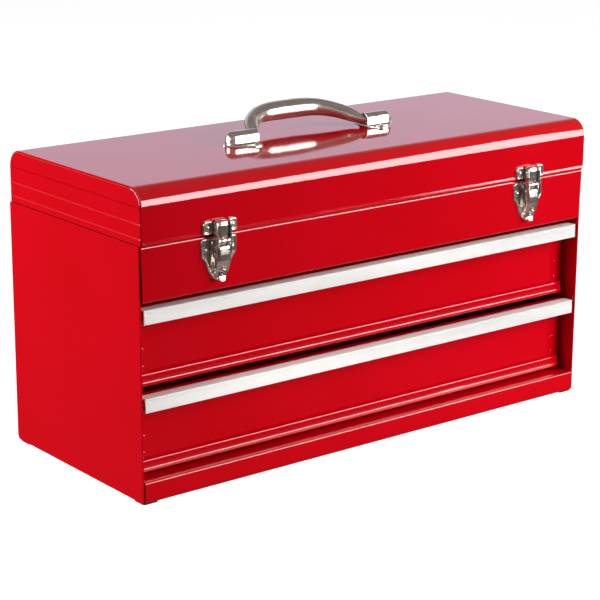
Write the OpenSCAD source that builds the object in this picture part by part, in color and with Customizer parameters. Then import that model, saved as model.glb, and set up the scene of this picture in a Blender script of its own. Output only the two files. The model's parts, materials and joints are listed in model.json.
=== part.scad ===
// Portable steel tool box with a lift-up lid and two drawers.
// Sheet-metal case, wrap-over lid with pressed ends, full-width continuous hinge,
// bail handle in two sleeves, two draw latches, two drawers with extruded pulls.
// Heights called "level" are measured from the lower edge of the sheet-metal case.

/* [Case] */
// Width over the two side panels
body_w = 508; // [480:1:540]
// Depth of the side panels, front edge to back edge
body_d = 205.4; // [195:0.1:230]
// Level of the seam between case and lid
seam_h = 222.4; // [221:0.1:228]
// Thickness of the painted sheet
sheet = 0.9; // [0.7:0.1:1.1]
// How far the front fascia stands in front of the side panels
fascia_out = 1.9; // [1.5:0.1:2.5]
// Level of the fascia's lower edge
fascia_z = 174; // [173:0.5:175]
// Height of the base rail's face
rail_h = 18.4; // [16:0.1:19]
// Height of the feet under the case
foot_h = 1.5; // [1:0.1:4]
// Side of the square foot pads
foot_s = 15; // [12:0.5:20]

/* [Lid] */
// Height of the lid above the seam
lid_h = 47.2; // [44:0.1:54]
// Radius of the lid's front and rear bends
lid_r = 15.5; // [8:0.5:18]
// How far the lid's front stands in front of the side panels
lid_out = 3.5; // [3:0.1:4]

/* [Drawers] */
// Level of the upper drawer's top edge
drawer_top = 167.4; // [166.5:0.1:168]
// Height from one drawer to the next
drawer_pitch = 76; // [75:0.1:77]
// Height of a drawer front, top lip to underside of the nose
front_h = 71; // [70:0.5:72]
// Length of a drawer front and its pull
pull_len = 499; // [460:1:500]
// How far a drawer's face is set back from the side panels' front edges
face_back = 17.5; // [16:0.5:20]
// Height of the extruded pull
pull_h = 12.6; // [11:0.1:14]
// Depth of the extruded pull
pull_d = 10.6; // [9:0.1:12]

/* [Latches] */
// Distance of each latch from the middle of the pair
latch_x = 178.2; // [120:0.1:200]
// How far the pair of latches sits to the right
latch_shift = 2; // [0:0.1:3]
// Width of a latch's base plate
latch_w = 36; // [36:0.2:40]

/* [Handle] */
// Distance of each bail leg from the middle, at the pivot axis
bail_x = 61; // [60.6:0.2:62]
// Height of the bail's middle above its pivot axis, along the bail
bail_h = 38.2; // [36:0.2:40]
// Tilt of the resting bail, from upright towards the back
bail_tilt = 72.5; // [64:0.5:74]

/* [Hidden] */

RED = "#c8001e";
NICKEL = "#b9b4aa";
ALU = "#e6e4e0";
BLACK = "#16161a";
$fn = 48;

hw = body_w/2;
hx = hw - sheet;                 // inner faces of the side panels
latch_out = 9.9;                 // latch's foremost point in front of the fascia
hinge_r = 2.2;                   // outer radius of the hinge knuckles
hinge_y0 = 1.2;                  // hinge axis behind the side panels' back edges
front_reach = fascia_out + latch_out;
rear_reach = hinge_y0 + hinge_r;
yF = -(body_d + rear_reach - front_reach)/2;   // side panels' front edges
yR = yF + body_d;                              // side panels' back edges
yC = yR - 1;                     // outer face of the back panel and of the lid's rear
z0 = foot_h;                     // lower edge of the case
seam = z0 + seam_h;
rim = seam - 0.6;                // top of the case's rim
lid_top = seam + lid_h;
yL = yF - lid_out;               // lid's front face
fy = yF - fascia_out;            // fascia's front face
ax_y = yR + hinge_y0;            // hinge axis
ax_z = seam;

// ---------- helpers ----------

// corner i of an open path, rounded with n short steps
function unit(v) = v/norm(v);
function fillet(a, b, c, r, n=6) =
    let (u = unit(a - b), v = unit(c - b),
         half = acos(max(-1, min(1, u*v)))/2,
         t = r/tan(half),
         bis = unit(u + v),
         o = b + bis*(r/sin(half)),
         p = b + u*t, q = b + v*t,
         a0 = atan2(p[1]-o[1], p[0]-o[0]),
         a1r = atan2(q[1]-o[1], q[0]-o[0]),
         d0 = a1r - a0,
         d = d0 > 180 ? d0 - 360 : d0 < -180 ? d0 + 360 : d0)
    [for (i = [0:n]) o + r*[cos(a0 + d*i/n), sin(a0 + d*i/n)]];

// open path with rounded corners: points p, radii r (0 leaves a sharp corner)
function rounded(p, r) = [for (i = [0:len(p)-1])
    each (i == 0 || i == len(p)-1 || r[i] == 0) ? [p[i]] : fillet(p[i-1], p[i], p[i+1], r[i])];

// offset point of an open path at vertex i
function nrm(v) = [-v[1], v[0]]/norm(v);
function offp(p, i, t) =
    i == 0 ? p[0] + nrm(p[1]-p[0])*t :
    i == len(p)-1 ? p[i] + nrm(p[i]-p[i-1])*t :
    let (a = nrm(p[i]-p[i-1]), b = nrm(p[i+1]-p[i]), m = unit(a + b))
    p[i] + m*(t/(m*a));

// outline of a bent sheet: path on one face, thickness t to its left
function bent(p, t) = concat(p, [for (i = [len(p)-1:-1:0]) offp(p, i, t)]);

// a bent sheet whose profile is given in (y, z), w wide along x
module bent_sheet(p, t, w) rotate([90, 0, 90])
    linear_extrude(w, center=true) polygon(bent(p, t));

// prism from an outline in (y, z), from x = a to x = b
module slab_x(p, a, b) translate([a, 0, 0]) rotate([90, 0, 90]) linear_extrude(b - a) polygon(p);

// prism from an outline in (x, z), from y = a to y = b
module slab_y(p, a, b) translate([0, b, 0]) rotate([90, 0, 0]) linear_extrude(b - a) polygon(p);

// box by its two corners
module bx(a, b) translate(a) cube(b - a);

// cylinders along x and along y
module cyl_x(r, a, b, y, z) translate([a, y, z]) rotate([0, 90, 0]) cylinder(r=r, h=b-a);
module cyl_y(r, a, b, x, z) translate([x, a, z]) rotate([-90, 0, 0]) cylinder(r=r, h=b-a);

// dome: a low ball cap on the plane y = y0, facing -y
module dome_y(r, h, x, y0, z) let (s = (r*r + h*h)/(2*h))
    intersection() {
        translate([x, y0 + s - h, z]) sphere(r=s);
        cyl_y(r + 1, y0 - h - 1, y0, x, z);
    }

// ---------- case ----------

// side panel: flat sheet, front edge hemmed, rim folded in, rounded lower rear corner
module side_panel(s) {
    r = 5;
    out = [[yF, z0], [yR - r, z0], for (a = [-75:15:-15]) [yR - r + r*cos(a), z0 + r + r*sin(a)],
           [yR, z0 + r], [yR, rim], [yF, rim]];
    color(RED) mirror([s > 0 ? 0 : 1, 0, 0]) difference() {
        union() {
            slab_x(out, hx, hw);
            // hem along the open front edge
            bx([hw - 2*sheet, yF, z0 + rail_h + 2.2], [hx + 0.01, yF + 8, z0 + fascia_z - 0.6]);
            // rim folded inwards
            bx([hx - 5, yF + 12, rim - sheet], [hx + 0.01, yR - 16, rim]);
        }
        // rear edge slightly relieved so that it reads as a rolled corner
        rotate([0, 0, 0]) translate([hw, yR, 0]) rotate([0, 0, 45]) bx([-0.6, -0.6, -1], [0.6, 0.6, rim + 5]);
    }
}
module left_side_panel() side_panel(-1);
module right_side_panel() side_panel(1);

// back panel: sheet with both ends turned forwards against the side panels
module back_panel() color(RED) {
    zr = rim - 0.9;
    bx([-hx, yC - sheet, z0 + sheet], [hx, yC, zr]);
    for (s = [-1, 1]) mirror([s > 0 ? 0 : 1, 0, 0])
        bx([hx - sheet, yC - 12, z0 + sheet], [hx, yC - sheet + 0.01, zr]);
    // rim folded forwards
    bx([-hx + 14, yC - 9, zr - sheet], [hx - 14, yC - sheet + 0.01, zr]);
}

// bottom pan: floor with turned-up sides and rear, holes for the feet
foot_in = foot_s/2;
module foot_places() for (sx = [-1, 1]) for (py = [yF + foot_in + 0.4, yR - foot_in - 4])
    translate([sx*(hx - foot_in - 0.3), py, 0]) children();
module bottom_pan() color(RED) difference() {
    union() {
        bx([-hx, yF + 10, z0], [hx, yC, z0 + sheet]);
        for (s = [-1, 1]) mirror([s > 0 ? 0 : 1, 0, 0])
            bx([hx - sheet, yF + 24, z0 + sheet - 0.01], [hx, yC - 12.5, z0 + 9]);
        bx([-hx + 16, yC - 2*sheet, z0 + sheet - 0.01], [hx - 16, yC - sheet, z0 + 9]);
        // tabs that carry the front feet
        for (s = [-1, 1]) mirror([s > 0 ? 0 : 1, 0, 0])
            bx([hx - foot_s - 4, yF + 0.4, z0], [hx, yF + 10.01, z0 + sheet]);
    }
    foot_places() translate([0, 0, z0 - 1]) cylinder(r=2.6, h=4, $fn=32);
}

// four push-in rubber pads
module feet() color(BLACK) foot_places() {
    difference() {
        translate([-foot_in, -foot_in, 0]) cube([foot_s, foot_s, foot_h]);
        for (a = [0:90:270]) rotate([0, 0, a]) translate([foot_in, foot_in, -1])
            rotate([0, 0, 45]) cube([2, 4, 2*foot_h + 4], center=true);
    }
    translate([0, 0, foot_h - 0.01]) cylinder(r=2.5, h=sheet + 0.61, $fn=32);
    translate([0, 0, foot_h + sheet + 0.2]) cylinder(r=3.4, h=1, $fn=32);
}

// fascia: flat face, rolled top edge and folded bottom edge
module front_fascia() color(RED) difference() {
    bent_sheet(rounded([[fy + 13, z0 + fascia_z], [fy, z0 + fascia_z], [fy, rim - 0.1], [fy + 12, rim - 0.1]],
        [0, 1.6, 2.8, 0]), -sheet, 2*(hw - 1.3));
    // lower corners cut back a little
    for (s = [-1, 1]) mirror([s > 0 ? 0 : 1, 0, 0])
        slab_y([[hw - 4.2, z0 + fascia_z - 1], [hw, z0 + fascia_z - 1], [hw, z0 + fascia_z + 16], [hw - 1.3, z0 + fascia_z + 13]],
            fy - 1, fy + 14);
}

// base rail: face with rolled top bend and shelf, folded bottom edge
module base_rail() color(RED) difference() {
    bent_sheet(rounded([[yF + 9.9, z0], [yF - 0.95, z0], [yF - 0.95, z0 + rail_h], [yF + 22, z0 + rail_h], [yF + 22, z0 + 11]],
        [0, 1.3, 1.9, 1.3, 0]), -sheet, 2*(hw - 2.4));
    // bottom flange notched at both ends for the tabs of the bottom pan
    for (s = [-1, 1]) mirror([s > 0 ? 0 : 1, 0, 0])
        bx([hx - foot_s - 4.3, yF + 0.1, z0 - 1], [hw, yF + 12, z0 + 2.4]);
}

// floor of the top compartment, edges turned down
module till_floor() color(RED) {
    zt = z0 + fascia_z + sheet;
    translate([0, 0, zt]) linear_extrude(sheet) polygon([
        [-hw + 3, fy + 1.75], [hw - 3, fy + 1.75], [hw - 3, yF + 0.5], [hx, yF + 0.5], [hx, yC - 12.4], [hx - sheet - 0.1, yC - 12.4],
        [hx - sheet - 0.1, yC - sheet], [-hx + sheet + 0.1, yC - sheet], [-hx + sheet + 0.1, yC - 12.4], [-hx, yC - 12.4],
        [-hx, yF + 0.5], [-hw + 3, yF + 0.5]]);
    for (s = [-1, 1]) mirror([s > 0 ? 0 : 1, 0, 0])
        bx([hx - sheet, yF + 14, zt - 5], [hx, yC - 12.5, zt + 0.01]);
    bx([-hx + 14, yC - 2*sheet, zt - 5], [hx - 14, yC - sheet, zt + 0.01]);
}

// drawer runners: channels on the inner faces of the side panels
tray_x = hx - 8.4;               // outer faces of a tray's sides
tray_rim = 10;                   // tray's rim below the drawer's top edge
tray_back = yC - 16;
module runner(s, top) color(RED) mirror([s > 0 ? 0 : 1, 0, 0]) {
    zr = top - tray_rim;         // upper face of the tray's flange
    ya = yF + face_back + 3;
    yb = yC - 12.5;
    bx([hx - sheet, ya, zr - 4], [hx, yb, zr + 4]);                      // web
    bx([hx - 7, ya, zr - 0.8 - 0.45 - sheet], [hx - sheet + 0.01, yb, zr - 0.8 - 0.45]);   // lower leg
    bx([hx - 7, ya, zr + 0.45], [hx - sheet + 0.01, yb, zr + 0.45 + sheet]);  // upper leg
}
up_top = z0 + drawer_top;
lo_top = z0 + drawer_top - drawer_pitch;
module upper_runner_left() runner(-1, up_top);
module upper_runner_right() runner(1, up_top);
module lower_runner_left() runner(-1, lo_top);
module lower_runner_right() runner(1, lo_top);

// ---------- hinge ----------
hinge_len = 480;
hinge_n = 21;
hinge_bore = 1.2;
kn = hinge_len/hinge_n;
module knuckles(first) for (i = [first:2:hinge_n-1]) {
    a = -hinge_len/2 + i*kn + (i == 0 ? 0 : 0.2);
    b = -hinge_len/2 + (i+1)*kn - (i == hinge_n-1 ? 0 : 0.2);
    cyl_x(hinge_r, a, b, ax_y, ax_z);
}
module hinge_leaf_case() color(RED) difference() {
    union() {
        bx([-hinge_len/2, yC, seam - 18], [hinge_len/2, yC + 1, seam - 2.7]);
        knuckles(0);
        for (i = [0:2:hinge_n-1]) bx([-hinge_len/2 + i*kn + (i == 0 ? 0 : 0.2), yC, seam - 2.8],
            [-hinge_len/2 + (i+1)*kn - 0.2, yC + 1, seam - 0.7]);
    }
    cyl_x(hinge_bore, -hinge_len/2 - 1, hinge_len/2 + 1, ax_y, ax_z);
}
module hinge_leaf_lid() color(RED) difference() {
    union() {
        bx([-hinge_len/2, yC, seam + 2.7], [hinge_len/2, yC + 1, seam + 18]);
        knuckles(1);
        for (i = [1:2:hinge_n-1]) bx([-hinge_len/2 + i*kn + 0.2, yC, seam + 0.1],
            [-hinge_len/2 + (i+1)*kn - (i == hinge_n-1 ? 0 : 0.2), yC + 1, seam + 2.8]);
    }
    cyl_x(hinge_bore, -hinge_len/2 - 1, hinge_len/2 + 1, ax_y, ax_z);
}
module hinge_pin() color(NICKEL) cyl_x(hinge_bore - 0.05, -hinge_len/2, hinge_len/2, ax_y, ax_z);

// ---------- lid ----------
wrap_in = 1.5;                   // wrap's edge inside the end's outer face
lt = 0.9;
function lid_path(o) = rounded([[yL + 9, seam], [yL, seam], [yL, lid_top], [yC, lid_top], [yC, seam], [yC - 9, seam]],
    [0, 1.4, lid_r, lid_r, 1.4, 0]);
module lid_wrap() color(RED) bent_sheet(lid_path(0), -lt, 2*(hw - wrap_in));

// outline inside the wrap, for the ends
function end_outline(k) = concat([[yL + k, seam + 1.3]],
    [for (a = [180:-15:90]) [yL + lid_r + (lid_r - k)*cos(a), lid_top - lid_r + (lid_r - k)*sin(a)]],
    [for (a = [90:-15:0]) [yC - lid_r + (lid_r - k)*cos(a), lid_top - lid_r + (lid_r - k)*sin(a)]],
    [[yC - k, seam + 1.3]]);
bead_1 = 17.5;                   // levels of the two creases above the seam
bead_2 = 5.3;
module lid_end(s) color(RED) mirror([s > 0 ? 0 : 1, 0, 0]) {
    difference() {
        union() {
            slab_x(concat([[yL + lt + 0.05, seam]], [for (p = end_outline(lt + 0.05)) if (p[1] > seam + 1.4) p],
                [[yC - lt - 0.05, seam]]), hw - lt, hw);
            // flange under the wrap
            difference() {
                slab_x(end_outline(lt + 0.02), hw - 11, hw - lt + 0.01);
                slab_x(concat([[yL + 2*lt, seam - 5]], [for (p = end_outline(2*lt)) if (p[1] > seam + 1.4) p],
                    [[yC - 2*lt, seam - 5]]), hw - 12, hw);
            }
        }
        // two creases pressed into the face
        for (b = [bead_1, bead_2]) slab_x([[yL + 4, seam + b - 0.5], [yC - 3, seam + b - 0.5], [yC - 3, seam + b + 0.5], [yL + 4, seam + b + 0.5]],
            hw - 0.3, hw + 1);
    }
}
module lid_end_left() lid_end(-1);
module lid_end_right() lid_end(1);

// ---------- handle ----------
bar_z = lid_top + 6.2;           // pivot axis above the lid
bar_y = yF + body_d/2 - 4.5;     // pivot axis along the depth
pin_r = 4;
sleeve_r = 6.4;
// sleeve on a flange, closed at the outer end
module handle_bracket(s) color(NICKEL) translate([0, bar_y, 0]) mirror([s > 0 ? 0 : 1, 0, 0]) difference() {
    union() {
        // flange
        translate([0, 0, lid_top]) linear_extrude(1.2) polygon([
            for (a = [-50:25:50]) [96 + 4*cos(a), 4*sin(a)],
            for (a = [60:20:200]) [71.6 + 4.8*cos(a), 15.4 + 4.8*sin(a)],
            for (a = [-200:20:-60]) [71.6 + 4.8*cos(a), -15.4 + 4.8*sin(a)]]);
        // sleeve
        cyl_x(sleeve_r, 63.2, 89, 0, bar_z);
        translate([89, 0, bar_z]) sphere(r=sleeve_r);
        bx([63.2, -sleeve_r, lid_top], [89, sleeve_r, bar_z]);
    }
    cyl_x(pin_r + 0.08, 62, 88, 0, bar_z);
    bx([50, -30, lid_top - 10], [110, 30, lid_top]);
    for (sy = [-1, 1]) translate([71.6, sy*15.4, lid_top - 1]) cylinder(r=2.1, h=4, $fn=32);
}
module handle_bracket_left() handle_bracket(-1);
module handle_bracket_right() handle_bracket(1);

module handle_rivets() color(NICKEL) for (sx = [-1, 1]) for (sy = [-1, 1])
    translate([sx*71.6, bar_y + sy*15.4, 0]) {
        translate([0, 0, lid_top + 0.02]) cylinder(r=2.05, h=1.3, $fn=32);
        intersection() {
            translate([0, 0, lid_top + 1.2 + 1.3 - 4.6]) sphere(r=4.6);
            translate([0, 0, lid_top + 1.2]) cylinder(r=3.4, h=3, $fn=32);
        }
    }

// bail: thick grip, two tapering legs, ends turned outwards into the sleeves
grip_r = 9;
leg_top_r = 7.4;
bend_R = 22;
// grip and leg are turned profiles whose ends sit a little inside the bends
module bail_grip(half) rotate([0, 90, 0]) rotate_extrude() polygon([[0, -half], [leg_top_r - 0.2, -half],
    [leg_top_r + 0.5, -half*0.55], [grip_r, -5], [grip_r, 5], [leg_top_r + 0.5, half*0.55], [leg_top_r - 0.2, half], [0, half]]);
module bail_leg(len) rotate_extrude() polygon([[0, -5.2], [2.6, -4.6], [4.5, -2.8], [5.3, 0], [5.5, 5],
    [leg_top_r - 0.2, len], [0, len]]);
module bail_side(S, d, C, tl, corner, turn) {
    // end in the sleeve, leg and bend
    cyl_x(pin_r, bail_x - 4, 86, 0, 0);
    translate([S[0], 0, S[1]]) rotate([0, atan2(d[0], d[1]), 0]) bail_leg(norm(corner - d*tl - S) + 1);
    translate([C[0], 0, C[1]]) rotate([90, 0, 0]) rotate([0, 0, 90 - turn])
        rotate_extrude(angle=turn) translate([bend_R, 0]) circle(r=leg_top_r);
}
module bail_bar() {
    S = [bail_x - 3.8, 0.3];
    d = unit([47.5 - S[0], 24.4 - S[1]]);
    corner = [S[0] + d[0]*(bail_h - S[1])/d[1], bail_h];
    turn = atan2(d[1], -d[0]);
    tl = bend_R*tan(turn/2);
    C = [corner[0] - tl, bail_h - bend_R];
    translate([0, 0, bail_h]) bail_grip(C[0] + 1);
    for (m = [0, 1]) mirror([m, 0, 0]) bail_side(S, d, C, tl, corner, turn);
}
module handle_bail() color(NICKEL) translate([0, bar_y, bar_z]) rotate([-bail_tilt, 0, 0]) bail_bar();

// ---------- latches ----------
// depths d are measured forwards from the fascia's face, levels from the case's lower edge
function ly(d) = fy - d;
function lz(z) = z0 + z;
strike_d = lid_out - fascia_out; // lid's face in front of the fascia's face
A = [6.2, 217];                  // lever's pivot: depth, level
B = [5.4, 206.5];                // hook's pivot on the lever
module at_latch(s) translate([s*latch_x + latch_shift, 0, 0]) children();

// shield-shaped base plate with a lug for the lever and a padlock eye
module latch_base(s) color(NICKEL) at_latch(s) difference() {
    union() {
        slab_y([[-latch_w/2 + 2, lz(219.4)], [latch_w/2 - 2, lz(219.4)], [latch_w/2, lz(217.4)], [latch_w/2, lz(205)],
            [latch_w/2 - 4.2, lz(200)], [latch_w/2 - 7.4, lz(190.6)],
            for (a = [-20:-20:-160]) [8.6*cos(a), lz(190.4) + 8*sin(a)],
            [-latch_w/2 + 7.4, lz(190.6)], [-latch_w/2 + 4.2, lz(200)], [-latch_w/2, lz(205)], [-latch_w/2, lz(217.4)]],
            ly(1.1), ly(0));
        // pivot lug
        cyl_x(3, -3, 3, ly(A[0]), lz(A[1]));
        bx([-3, ly(A[0]), lz(A[1] - 3)], [3, ly(0.5), lz(A[1] + 3)]);
        // padlock eye
        bx([-1, ly(9.6), lz(188.9)], [1, ly(0.5), lz(195.1)]);
    }
    cyl_x(1.05, -4, 4, ly(A[0]), lz(A[1]));
    cyl_x(1.9, -2, 2, ly(6.9), lz(192));
    for (sx = [-1, 1]) cyl_y(1.9, ly(2), ly(-0.5), sx*13.8, lz(209.6));
}
module left_latch_base() latch_base(-1);
module right_latch_base() latch_base(1);

module latch_base_rivets() color(NICKEL) for (s = [-1, 1]) for (sx = [-1, 1]) at_latch(s) {
    cyl_y(1.85, ly(1.2), ly(0.02), sx*13.8, lz(209.6));
    dome_y(2.7, 1.5, sx*13.8, ly(1.1), lz(209.6));
}

// strike on the lid: plate, two raised ears and a low lip between them
module latch_strike(s) color(NICKEL) at_latch(s) difference() {
    union() {
        slab_y([[-17.6, lz(225.2)], [-15.6, lz(223.2)], [15.6, lz(223.2)], [17.6, lz(225.2)], [17.6, lz(232.6)], [15.6, lz(234.6)],
            [-15.6, lz(234.6)], [-17.6, lz(232.6)]], ly(strike_d + 1), ly(strike_d));
        // lip
        slab_x([[ly(strike_d + 0.5), lz(230.4)], [ly(strike_d + 2), lz(231.6)], [ly(strike_d + 2.5), lz(234.6)],
            [ly(strike_d + 1.6), lz(234.6)], [ly(strike_d + 1.3), lz(232.4)], [ly(strike_d + 0.5), lz(232)]], -5.4, 5.4);
        // raised rims of the ears
        for (sx = [-1, 1]) mirror([sx > 0 ? 0 : 1, 0, 0]) difference() {
            slab_y([[8.1, lz(224.8)], [9.6, lz(223.2)], [15.6, lz(223.2)], [17.6, lz(225.2)], [17.6, lz(232.6)], [15.6, lz(234.6)],
                [9.6, lz(234.6)], [8.1, lz(233)]], ly(strike_d + 2), ly(strike_d + 0.5));
            slab_y([[9.3, lz(225.5)], [10.3, lz(224.5)], [15.3, lz(224.5)], [16.3, lz(225.5)], [16.3, lz(232.3)], [15.3, lz(233.3)],
                [10.3, lz(233.3)], [9.3, lz(232.3)]], ly(strike_d + 4), ly(strike_d + 1));
        }
    }
    for (sx = [-1, 1]) cyl_y(1.65, ly(strike_d + 4), ly(strike_d - 1), sx*12.8, lz(228.9));
}
module left_latch_strike() latch_strike(-1);
module right_latch_strike() latch_strike(1);

module latch_strike_rivets() color(NICKEL) for (s = [-1, 1]) for (sx = [-1, 1]) at_latch(s) {
    cyl_y(1.6, ly(strike_d + 1.1), ly(strike_d + 0.02), sx*12.8, lz(228.9));
    dome_y(2.7, 1.6, sx*12.8, ly(strike_d + 1), lz(228.9));
}

// lever: two knuckles on the pivot, cheeks, and a tongue with a finger tab
module latch_lever(s) color(NICKEL) at_latch(s) difference() {
    union() {
        for (sx = [-1, 1]) mirror([sx > 0 ? 0 : 1, 0, 0]) {
            cyl_x(3, 3.4, 5.6, ly(A[0]), lz(A[1]));
            slab_x([[ly(A[0] - 3), lz(A[1])], [ly(A[0] + 3), lz(A[1])], [ly(9.4), lz(211)], [ly(9.4), lz(201)], [ly(6.5), lz(192.4)],
                [ly(5.2), lz(192.4)], [ly(3.4), lz(199)], [ly(3.2), lz(206)]], 4.5, 5.6);
        }
        // tongue: upright above, sloping back to the base plate below, tab turned out
        slab_x([[ly(7.6), lz(212.6)], [ly(8.9), lz(212.6)], [ly(9.8), lz(211)], [ly(9.9), lz(204)], [ly(9.5), lz(200.8)], [ly(5.6), lz(189)],
            [ly(7.1), lz(182.2)], [ly(6), lz(181.8)], [ly(4.4), lz(189)], [ly(8.3), lz(201)], [ly(8.7), lz(204)], [ly(8.6), lz(210.6)]], -5.6, 5.6);
        // wider below the hook
        slab_x([[ly(9.5), lz(200.8)], [ly(5.6), lz(189)], [ly(4.4), lz(189)], [ly(8.3), lz(201)]], -6.4, 6.4);
    }
    cyl_x(1.05, -7, 7, ly(A[0]), lz(A[1]));
    cyl_x(1.05, -7, 7, ly(B[0]), lz(B[1]));
    // slot for the padlock eye
    bx([-1.9, ly(14), lz(187.9)], [1.9, ly(1), lz(196.8)]);
    // tapered tip
    for (sx = [-1, 1]) mirror([sx > 0 ? 0 : 1, 0, 0])
        slab_y([[6.5, lz(190.2)], [4.6, lz(186.4)], [3.8, lz(180)], [8, lz(180)], [8, lz(190.2)]], ly(14), ly(1));
}
module left_latch_lever() latch_lever(-1);
module right_latch_lever() latch_lever(1);
module lever_pin(s) color(NICKEL) at_latch(s) cyl_x(1, -5.7, 5.7, ly(A[0]), lz(A[1]));
module left_lever_pin() lever_pin(-1);
module right_lever_pin() lever_pin(1);

// hook: two ribs that run from the pivot up past the strike, plate and rolled top between them
module latch_hook(s) color(NICKEL) at_latch(s) difference() {
    union() {
        for (sx = [-1, 1]) mirror([sx > 0 ? 0 : 1, 0, 0]) slab_x([[ly(2.9), lz(206)], [ly(3.8), lz(204)], [ly(5.4), lz(203.3)],
            [ly(7.2), lz(203.9)], [ly(8.4), lz(206)], [ly(8.8), lz(212)], [ly(8.8), lz(231)], [ly(8), lz(233)], [ly(6.2), lz(233.4)],
            [ly(4.2), lz(232.8)], [ly(3.2), lz(231)], [ly(3.2), lz(221)]], 6.7, 7.7);
        // plate
        bx([-6.8, ly(7.8), lz(220.6)], [6.8, ly(6.8), lz(231)]);
        // rolled top
        cyl_x(2.1, -6.8, 6.8, ly(6.7), lz(231.9));
    }
    cyl_x(1.05, -10, 10, ly(B[0]), lz(B[1]));
}
module left_latch_hook() latch_hook(-1);
module right_latch_hook() latch_hook(1);
module hook_pin(s) color(NICKEL) at_latch(s) cyl_x(1, -8.2, 8.2, ly(B[0]), lz(B[1]));
module left_hook_pin() hook_pin(-1);
module right_hook_pin() hook_pin(1);

// ---------- drawers ----------
dy = yF + face_back;             // drawer's face
// front: lip, face, step and rounded nose
module drawer_front(top) color(RED)
    bent_sheet(rounded([[yF + 2.2, top - 1.45], [yF + pull_d + 0.2, top - 1.45], [yF + pull_d + 1.4, top], [dy + sheet, top],
        [dy + sheet, top - 58.6], [dy - 3.2 + sheet, top - 60.8], [dy - 3.2 + sheet, top - 64], [dy - 3.9, top - 67.1],
        [dy - 1.2, top - front_h + sheet], [dy + 6, top - front_h + sheet]],
        [0, 0, 0, 1.7, 1.2, 1.2, 1.2, 2.2, 1.9, 0]), -sheet, pull_len);

// tray: open box with its side rims turned outwards into the runners
module drawer_tray(top) color(RED) {
    t = 0.8;
    a = dy + sheet + 0.02;
    zb = top - 66;
    zt = top - tray_rim;
    bx([-tray_x, a, zb], [tray_x, tray_back, zb + t]);
    for (s = [-1, 1]) mirror([s > 0 ? 0 : 1, 0, 0]) {
        bx([tray_x - t, a, zb], [tray_x, tray_back, zt]);
        bx([tray_x - 0.01, a + 5, zt - t], [hx - sheet - 0.6, tray_back, zt]);
    }
    bx([-tray_x, tray_back - t, zb], [tray_x, tray_back, zt]);
    bx([-tray_x, a, zb], [tray_x, a + t, zt]);
}

// pull: extruded channel with a ribbed face
module drawer_pull(top) color(ALU) {
    w = 1.3;
    n = 6;
    face = [for (i = [0:n-1]) each [[yF + 0.35, top - 3.2 - i*1.45], [yF, top - 3.6 - i*1.45], [yF, top - 4.3 - i*1.45], [yF + 0.35, top - 4.65 - i*1.45]]];
    out = concat([[yF + pull_d, top], [yF + 0.6, top], [yF, top - 0.6], [yF, top - 2.4]], face,
        [[yF, top - pull_h + 0.6], [yF + 0.6, top - pull_h], [yF + 6, top - pull_h], [yF + 6, top - pull_h + w],
         [yF + w, top - pull_h + w], [yF + w, top - w], [yF + pull_d, top - w]]);
    slab_x(out, -pull_len/2, pull_len/2);
}

// two blind rivets at each end, through front and tray
module drawer_rivets(top) color(RED) for (sx = [-1, 1]) for (zz = [39.5, 54.5]) {
    x = sx*(tray_x - 4);
    difference() {
        union() {
            dome_y(2, 0.7, x, dy, top - zz);
            cyl_y(1.2, dy - 0.01, dy + 2.6, x, top - zz);
        }
        cyl_y(0.65, dy - 2, dy + 0.4, x, top - zz);
    }
}
module rivet_holes(top) for (sx = [-1, 1]) for (zz = [39.5, 54.5])
    cyl_y(1.25, dy - 2, dy + 4, sx*(tray_x - 4), top - zz);

module upper_drawer_front() difference() { drawer_front(up_top); rivet_holes(up_top); }
module upper_drawer_tray() difference() { drawer_tray(up_top); rivet_holes(up_top); }
module upper_drawer_pull() drawer_pull(up_top);
module upper_drawer_rivets() drawer_rivets(up_top);
module lower_drawer_front() difference() { drawer_front(lo_top); rivet_holes(lo_top); }
module lower_drawer_tray() difference() { drawer_tray(lo_top); rivet_holes(lo_top); }
module lower_drawer_pull() drawer_pull(lo_top);
module lower_drawer_rivets() drawer_rivets(lo_top);

left_side_panel();
right_side_panel();
back_panel();
bottom_pan();
front_fascia();
base_rail();
till_floor();
upper_runner_left();
upper_runner_right();
lower_runner_left();
lower_runner_right();
feet();
hinge_leaf_case();
hinge_leaf_lid();
hinge_pin();
lid_wrap();
lid_end_left();
lid_end_right();
handle_bracket_left();
handle_bracket_right();
handle_rivets();
handle_bail();
left_latch_base();
right_latch_base();
latch_base_rivets();
left_latch_strike();
right_latch_strike();
latch_strike_rivets();
left_latch_lever();
right_latch_lever();
left_lever_pin();
right_lever_pin();
left_latch_hook();
right_latch_hook();
left_hook_pin();
right_hook_pin();
upper_drawer_front();
upper_drawer_tray();
upper_drawer_pull();
upper_drawer_rivets();
lower_drawer_front();
lower_drawer_tray();
lower_drawer_pull();
lower_drawer_rivets();
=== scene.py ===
import bpy, bmesh, json
from math import sin, cos, tan, pi, radians, atan2, acos, hypot, sqrt, ceil
from mathutils import Vector, Matrix


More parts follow.
